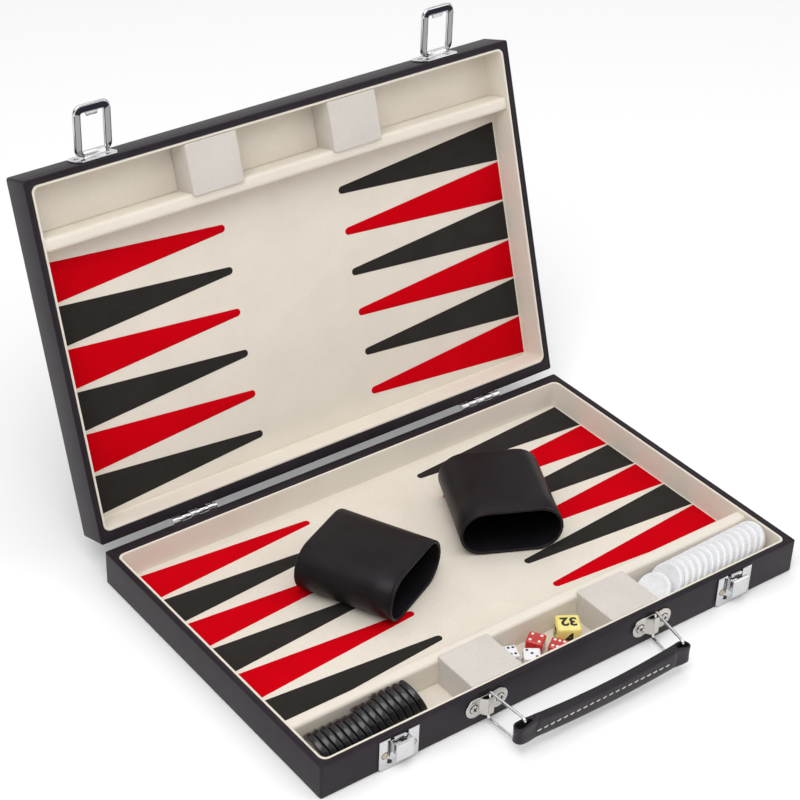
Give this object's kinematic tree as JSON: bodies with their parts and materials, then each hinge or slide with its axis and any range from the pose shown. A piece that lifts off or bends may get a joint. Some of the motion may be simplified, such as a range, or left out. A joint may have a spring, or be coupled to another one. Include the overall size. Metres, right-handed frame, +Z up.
{
  "type": "backgammon set",
  "caption": "Attache-style backgammon set: hinged lined case with latches and carrying handle, dice cups, dice, doubling cube and checkers in compartments.",
  "frame": {"origin": "centre of the underside of the lower tray, where the case rests", "axes": "+Z up, +X along the hinge line to the right seen from the carrying handle, +Y from the carrying handle towards the hinges"},
  "size_m": [0.38, 0.3816, 0.2944],
  "materials": {
    "leatherette": "fine grained satin black",
    "lining": "cream suede-like lining",
    "chrome_plate": "polished",
    "grip_leather": "smooth satin black with white stitching",
    "cup_leather": "smooth satin black",
    "white_plastic": "gloss white",
    "black_plastic": "gloss black",
    "yellow_plastic": "semi-gloss yellow",
    "red_plastic": "gloss translucent red"
  },
  "bodies": {
    "base": {"base_shell": "leatherette", "base_lining": "lining", "base_insert": "lining", "hinge_left_base_leaf": "chrome_plate", "catch_left_plate": "chrome_plate", "handle_left_bracket": "chrome_plate", "hinge_right_base_leaf": "chrome_plate", "catch_right_plate": "chrome_plate", "handle_right_bracket": "chrome_plate"},
    "lid": {"lid_shell": "leatherette", "lid_lining": "lining", "lid_insert": "lining", "hinge_left_lid_leaf": "chrome_plate", "hasp_left_bracket": "chrome_plate", "hinge_right_lid_leaf": "chrome_plate", "hasp_right_bracket": "chrome_plate"},
    "hasp_left": {"hasp_left_ring": "chrome_plate"},
    "catch_left": {"catch_left_slide": "chrome_plate"},
    "hasp_right": {"hasp_right_ring": "chrome_plate"},
    "catch_right": {"catch_right_slide": "chrome_plate"},
    "handle_ring_left": {"handle_left_ring": "chrome_plate"},
    "handle_ring_right": {"handle_right_ring": "chrome_plate"},
    "handle_grip": {"handle_grip": "grip_leather"},
    "cup_left": {"cup_left": "cup_leather"},
    "cup_right": {"cup_right": "cup_leather"},
    "doubling_cube": {"doubling_cube": "yellow_plastic"},
    "die_white_a": {"die_white_a": "white_plastic"},
    "die_white_b": {"die_white_b": "white_plastic"},
    "die_red_a": {"die_red_a": "red_plastic"},
    "die_red_b": {"die_red_b": "red_plastic"},
    "checker_white_1": {"checker_white_1": "white_plastic"},
    "checker_white_2": {"checker_white_2": "white_plastic"},
    "checker_white_3": {"checker_white_3": "white_plastic"},
    "checker_white_4": {"checker_white_4": "white_plastic"},
    "checker_white_5": {"checker_white_5": "white_plastic"},
    "checker_white_6": {"checker_white_6": "white_plastic"},
    "checker_white_7": {"checker_white_7": "white_plastic"},
    "checker_white_8": {"checker_white_8": "white_plastic"},
    "checker_white_9": {"checker_white_9": "white_plastic"},
    "checker_white_10": {"checker_white_10": "white_plastic"},
    "checker_white_11": {"checker_white_11": "white_plastic"},
    "checker_white_12": {"checker_white_12": "white_plastic"},
    "checker_white_13": {"checker_white_13": "white_plastic"},
    "checker_white_14": {"checker_white_14": "white_plastic"},
    "checker_white_15": {"checker_white_15": "white_plastic"},
    "checker_black_1": {"checker_black_1": "black_plastic"},
    "checker_black_2": {"checker_black_2": "black_plastic"},
    "checker_black_3": {"checker_black_3": "black_plastic"},
    "checker_black_4": {"checker_black_4": "black_plastic"},
    "checker_black_5": {"checker_black_5": "black_plastic"},
    "checker_black_6": {"checker_black_6": "black_plastic"},
    "checker_black_7": {"checker_black_7": "black_plastic"},
    "checker_black_8": {"checker_black_8": "black_plastic"},
    "checker_black_9": {"checker_black_9": "black_plastic"},
    "checker_black_10": {"checker_black_10": "black_plastic"},
    "checker_black_11": {"checker_black_11": "black_plastic"},
    "checker_black_12": {"checker_black_12": "black_plastic"},
    "checker_black_13": {"checker_black_13": "black_plastic"},
    "checker_black_14": {"checker_black_14": "black_plastic"},
    "checker_black_15": {"checker_black_15": "black_plastic"}
  },
  "joints": [
    {"name": "lid_hinge", "type": "hinge", "parent": "base", "child": "lid", "pos_m": [0, 0.124, 0.0253], "axis": [-1, 0, 0], "range_deg": [-107.5, 72.5]},
    {"name": "hasp_left_hinge", "type": "hinge", "parent": "lid", "child": "hasp_left", "pos_m": [-0.1348, 0.20816, 0.25995], "axis": [-1, 0, 0], "range_deg": [-72.5, 0], "stiffness_Nm_per_rad": 0.004, "springref_deg": 40.11},
    {"name": "catch_left_slide_joint", "type": "slide", "parent": "base", "child": "catch_left", "axis": [-1, 0, 0], "range_m": [0, 0.002], "stiffness_N_per_m": 120, "springref_m": -0.001},
    {"name": "hasp_right_hinge", "type": "hinge", "parent": "lid", "child": "hasp_right", "pos_m": [0.1348, 0.20816, 0.25995], "axis": [-1, 0, 0], "range_deg": [-72.5, 0], "stiffness_Nm_per_rad": 0.004, "springref_deg": 40.11},
    {"name": "catch_right_slide_joint", "type": "slide", "parent": "base", "child": "catch_right", "axis": [-1, 0, 0], "range_m": [0, 0.002], "stiffness_N_per_m": 120, "springref_m": -0.001},
    {"name": "handle_left_pivot", "type": "hinge", "parent": "base", "child": "handle_ring_left", "pos_m": [-0.0693, -0.1249, 0.0143], "axis": [0, 0, 1], "range_deg": [-50, 50]},
    {"name": "handle_right_pivot", "type": "hinge", "parent": "base", "child": "handle_ring_right", "pos_m": [0.0635, -0.1249, 0.0143], "axis": [0, 0, 1], "range_deg": [-50.5, 50.5]},
    {"name": "handle_grip_pivot", "type": "hinge", "parent": "handle_ring_left", "child": "handle_grip", "pos_m": [-0.0679, -0.1558, 0.0144], "axis": [0, 0, 1], "range_deg": [-53, 53]},
    {"name": "cup_left_lift", "type": "slide", "parent": "base", "child": "cup_left", "axis": [0, 0, 1], "range_m": [0, 0.045]},
    {"name": "cup_right_lift", "type": "slide", "parent": "base", "child": "cup_right", "axis": [0, 0, 1], "range_m": [0, 0.045]},
    {"name": "doubling_cube_lift", "type": "slide", "parent": "base", "child": "doubling_cube", "axis": [0, 0, 1], "range_m": [0, 0.03]},
    {"name": "die_white_a_lift", "type": "slide", "parent": "base", "child": "die_white_a", "axis": [0, 0, 1], "range_m": [0, 0.03]},
    {"name": "die_white_b_lift", "type": "slide", "parent": "base", "child": "die_white_b", "axis": [0, 0, 1], "range_m": [0, 0.03]},
    {"name": "die_red_a_lift", "type": "slide", "parent": "base", "child": "die_red_a", "axis": [0, 0, 1], "range_m": [0, 0.03]},
    {"name": "die_red_b_lift", "type": "slide", "parent": "base", "child": "die_red_b", "axis": [0, 0, 1], "range_m": [0, 0.03]},
    {"name": "checker_white_1_lift", "type": "slide", "parent": "base", "child": "checker_white_1", "axis": [0.5664, 0, 0.8241], "range_m": [0, 0.03]},
    {"name": "checker_white_2_lift", "type": "slide", "parent": "base", "child": "checker_white_2", "axis": [0.5664, 0, 0.8241], "range_m": [0, 0.03]},
    {"name": "checker_white_3_lift", "type": "slide", "parent": "base", "child": "checker_white_3", "axis": [0.5664, 0, 0.8241], "range_m": [0, 0.03]},
    {"name": "checker_white_4_lift", "type": "slide", "parent": "base", "child": "checker_white_4", "axis": [0.5664, 0, 0.8241], "range_m": [0, 0.03]},
    {"name": "checker_white_5_lift", "type": "slide", "parent": "base", "child": "checker_white_5", "axis": [0.5664, 0, 0.8241], "range_m": [0, 0.03]},
    {"name": "checker_white_6_lift", "type": "slide", "parent": "base", "child": "checker_white_6", "axis": [0.5664, 0, 0.8241], "range_m": [0, 0.03]},
    {"name": "checker_white_7_lift", "type": "slide", "parent": "base", "child": "checker_white_7", "axis": [0.5664, 0, 0.8241], "range_m": [0, 0.03]},
    {"name": "checker_white_8_lift", "type": "slide", "parent": "base", "child": "checker_white_8", "axis": [0.5664, 0, 0.8241], "range_m": [0, 0.03]},
    {"name": "checker_white_9_lift", "type": "slide", "parent": "base", "child": "checker_white_9", "axis": [0.5664, 0, 0.8241], "range_m": [0, 0.03]},
    {"name": "checker_white_10_lift", "type": "slide", "parent": "base", "child": "checker_white_10", "axis": [0.5664, 0, 0.8241], "range_m": [0, 0.03]},
    {"name": "checker_white_11_lift", "type": "slide", "parent": "base", "child": "checker_white_11", "axis": [0.5664, 0, 0.8241], "range_m": [0, 0.03]},
    {"name": "checker_white_12_lift", "type": "slide", "parent": "base", "child": "checker_white_12", "axis": [0.5664, 0, 0.8241], "range_m": [0, 0.03]},
    {"name": "checker_white_13_lift", "type": "slide", "parent": "base", "child": "checker_white_13", "axis": [0.5664, 0, 0.8241], "range_m": [0, 0.03]},
    {"name": "checker_white_14_lift", "type": "slide", "parent": "base", "child": "checker_white_14", "axis": [0.5664, 0, 0.8241], "range_m": [0, 0.03]},
    {"name": "checker_white_15_lift", "type": "slide", "parent": "base", "child": "checker_white_15", "axis": [0, 0, 1], "range_m": [0, 0.03]},
    {"name": "checker_black_1_lift", "type": "slide", "parent": "base", "child": "checker_black_1", "axis": [-0.3907, 0, 0.9205], "range_m": [0, 0.03]},
    {"name": "checker_black_2_lift", "type": "slide", "parent": "base", "child": "checker_black_2", "axis": [-0.3907, 0, 0.9205], "range_m": [0, 0.03]},
    {"name": "checker_black_3_lift", "type": "slide", "parent": "base", "child": "checker_black_3", "axis": [-0.3907, 0, 0.9205], "range_m": [0, 0.03]},
    {"name": "checker_black_4_lift", "type": "slide", "parent": "base", "child": "checker_black_4", "axis": [-0.3907, 0, 0.9205], "range_m": [0, 0.03]},
    {"name": "checker_black_5_lift", "type": "slide", "parent": "base", "child": "checker_black_5", "axis": [-0.3907, 0, 0.9205], "range_m": [0, 0.03]},
    {"name": "checker_black_6_lift", "type": "slide", "parent": "base", "child": "checker_black_6", "axis": [-0.3907, 0, 0.9205], "range_m": [0, 0.03]},
    {"name": "checker_black_7_lift", "type": "slide", "parent": "base", "child": "checker_black_7", "axis": [-0.3907, 0, 0.9205], "range_m": [0, 0.03]},
    {"name": "checker_black_8_lift", "type": "slide", "parent": "base", "child": "checker_black_8", "axis": [-0.3907, 0, 0.9205], "range_m": [0, 0.03]},
    {"name": "checker_black_9_lift", "type": "slide", "parent": "base", "child": "checker_black_9", "axis": [-0.3907, 0, 0.9205], "range_m": [0, 0.03]},
    {"name": "checker_black_10_lift", "type": "slide", "parent": "base", "child": "checker_black_10", "axis": [-0.3907, 0, 0.9205], "range_m": [0, 0.03]},
    {"name": "checker_black_11_lift", "type": "slide", "parent": "base", "child": "checker_black_11", "axis": [-0.3907, 0, 0.9205], "range_m": [0, 0.03]},
    {"name": "checker_black_12_lift", "type": "slide", "parent": "base", "child": "checker_black_12", "axis": [-0.3907, 0, 0.9205], "range_m": [0, 0.03]},
    {"name": "checker_black_13_lift", "type": "slide", "parent": "base", "child": "checker_black_13", "axis": [-0.3907, 0, 0.9205], "range_m": [0, 0.03]},
    {"name": "checker_black_14_lift", "type": "slide", "parent": "base", "child": "checker_black_14", "axis": [-0.3907, 0, 0.9205], "range_m": [0, 0.03]},
    {"name": "checker_black_15_lift", "type": "slide", "parent": "base", "child": "checker_black_15", "axis": [-0.3907, 0, 0.9205], "range_m": [0, 0.03]}
  ],
  "couplings": [
    {"joint": "handle_right_pivot", "follows": "handle_left_pivot", "ratio": 1},
    {"joint": "handle_grip_pivot", "follows": "handle_left_pivot", "ratio": -1.05}
  ]
}
